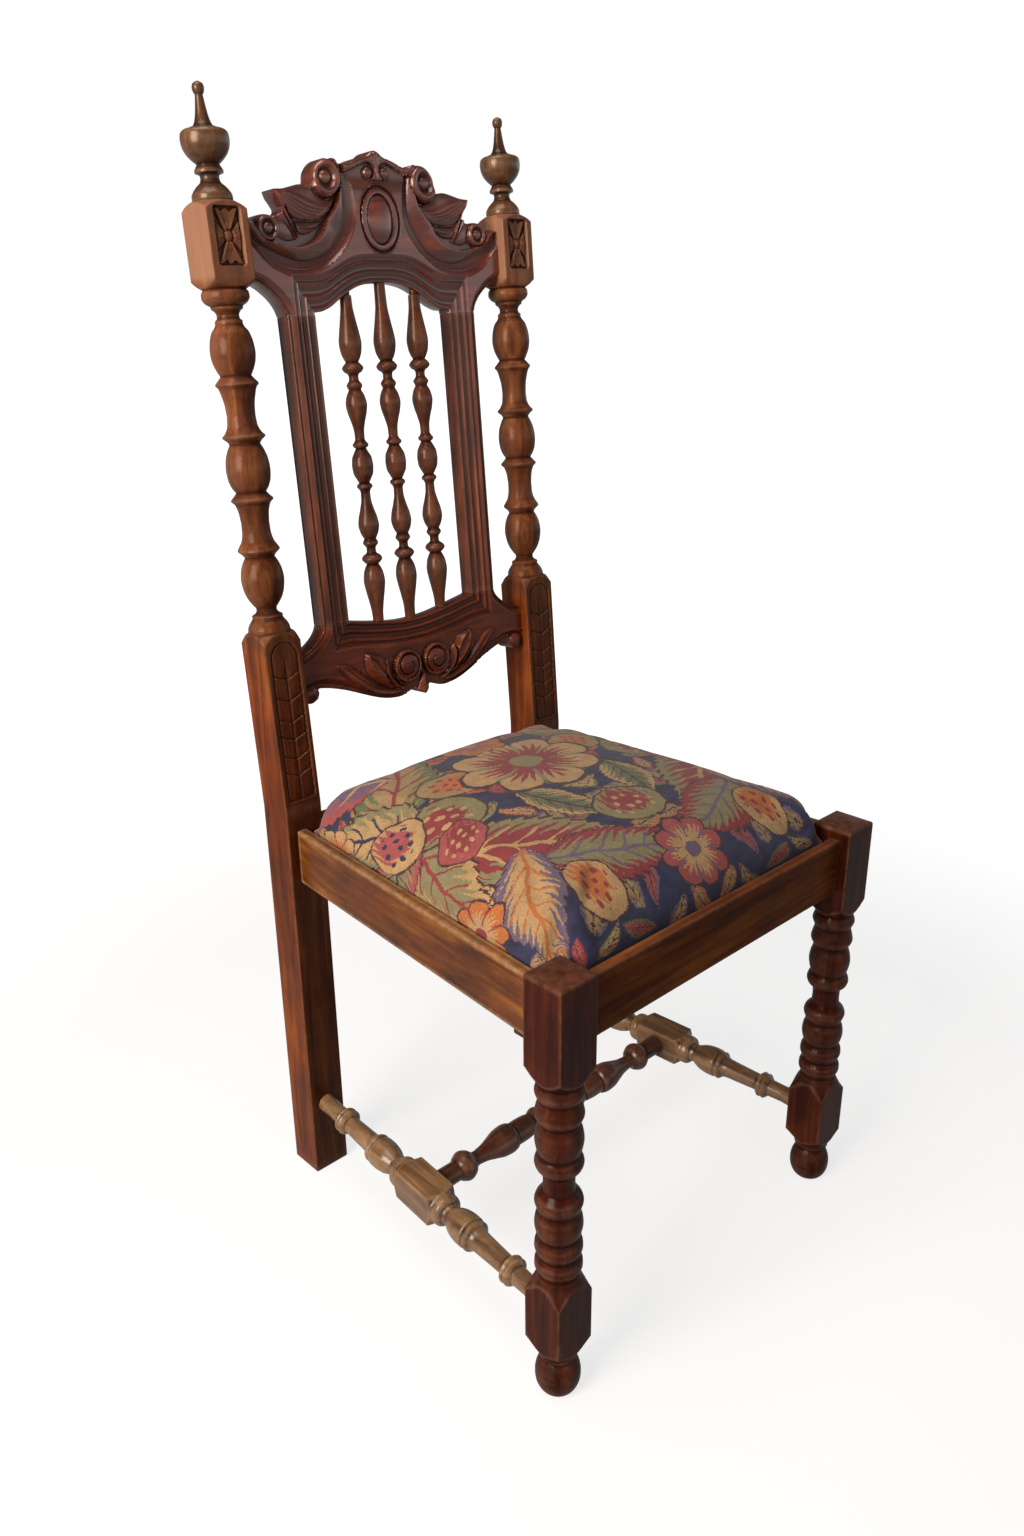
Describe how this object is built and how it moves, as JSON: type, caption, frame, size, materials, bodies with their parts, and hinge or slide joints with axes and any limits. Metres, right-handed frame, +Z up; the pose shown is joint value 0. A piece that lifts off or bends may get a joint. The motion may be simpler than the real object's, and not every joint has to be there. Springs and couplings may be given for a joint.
{
  "type": "carved high-back dining chair",
  "caption": "Carved high-back side chair with turned legs and posts, a spindle back and a lift-out tapestry seat.",
  "frame": {"origin": "on the floor, under the middle of the chair's bounding box", "axes": "+Z up; the front of the seat faces -Y; +X to the right as the chair is seen from the front"},
  "size_m": [0.466, 0.5192, 1.1401],
  "materials": {
    "dark_mahogany": "dark red-brown french polish, worn lighter on the arrises",
    "crest_mahogany": "dark polish with a dull mauve-grey sheen on the flats and redder hollows",
    "golden_walnut": "worn golden brown polish",
    "rail_mahogany": "orange-brown polish over ribbon-striped grain",
    "inner_pine": "bare softwood",
    "seat_tapestry": "ribbed woven tapestry in navy, olive, tan, crimson, orange and mauve-grey",
    "seat_hair": "loose stuffing in calico",
    "seat_webbing": "plain jute weave",
    "black_cambric": "thin black dust cloth",
    "screw_steel": "dull steel"
  },
  "bodies": {
    "chair_frame": {"front_leg_right": "dark_mahogany", "front_leg_left": "dark_mahogany", "back_post_right": "dark_mahogany", "back_post_left": "dark_mahogany", "back_stile_right": "dark_mahogany", "back_stile_left": "dark_mahogany", "finial_right": "golden_walnut", "finial_left": "golden_walnut", "side_stretcher_right": "golden_walnut", "side_stretcher_left": "golden_walnut", "side_seat_rail_right": "rail_mahogany", "side_seat_rail_left": "rail_mahogany", "front_corner_block_right": "inner_pine", "front_corner_block_left": "inner_pine", "back_corner_block_right": "inner_pine", "back_corner_block_left": "inner_pine", "screw_front_rail_right": "screw_steel", "screw_front_rail_left": "screw_steel", "screw_back_rail_right": "screw_steel", "screw_back_rail_left": "screw_steel", "screw_side_rail_front_right": "screw_steel", "screw_side_rail_front_left": "screw_steel", "screw_side_rail_back_right": "screw_steel", "screw_side_rail_back_left": "screw_steel", "crest_rail": "crest_mahogany", "lower_back_rail": "dark_mahogany", "spindle_left": "dark_mahogany", "spindle_middle": "dark_mahogany", "spindle_right": "dark_mahogany", "front_seat_rail": "dark_mahogany", "back_seat_rail": "rail_mahogany", "cross_stretcher": "golden_walnut"},
    "drop_in_seat": {"seat_frame_side_right": "inner_pine", "seat_frame_side_left": "inner_pine", "tack_front_right": "screw_steel", "tack_front_left": "screw_steel", "tack_back_right": "screw_steel", "tack_back_left": "screw_steel", "tack_side_front_right": "screw_steel", "tack_side_front_left": "screw_steel", "tack_side_back_right": "screw_steel", "tack_side_back_left": "screw_steel", "seat_cover": "seat_tapestry", "seat_stuffing": "seat_hair", "webbing_lengthwise_left": "seat_webbing", "webbing_lengthwise_middle": "seat_webbing", "webbing_lengthwise_right": "seat_webbing", "webbing_crosswise_front": "seat_webbing", "webbing_crosswise_middle": "seat_webbing", "webbing_crosswise_back": "seat_webbing", "seat_frame_front": "inner_pine", "seat_frame_back": "inner_pine", "seat_dust_cover": "black_cambric"}
  },
  "joints": [
    {"name": "seat_lift", "type": "slide", "parent": "chair_frame", "child": "drop_in_seat", "axis": [0, 0, 1], "range_m": [0, 0.05]}
  ]
}
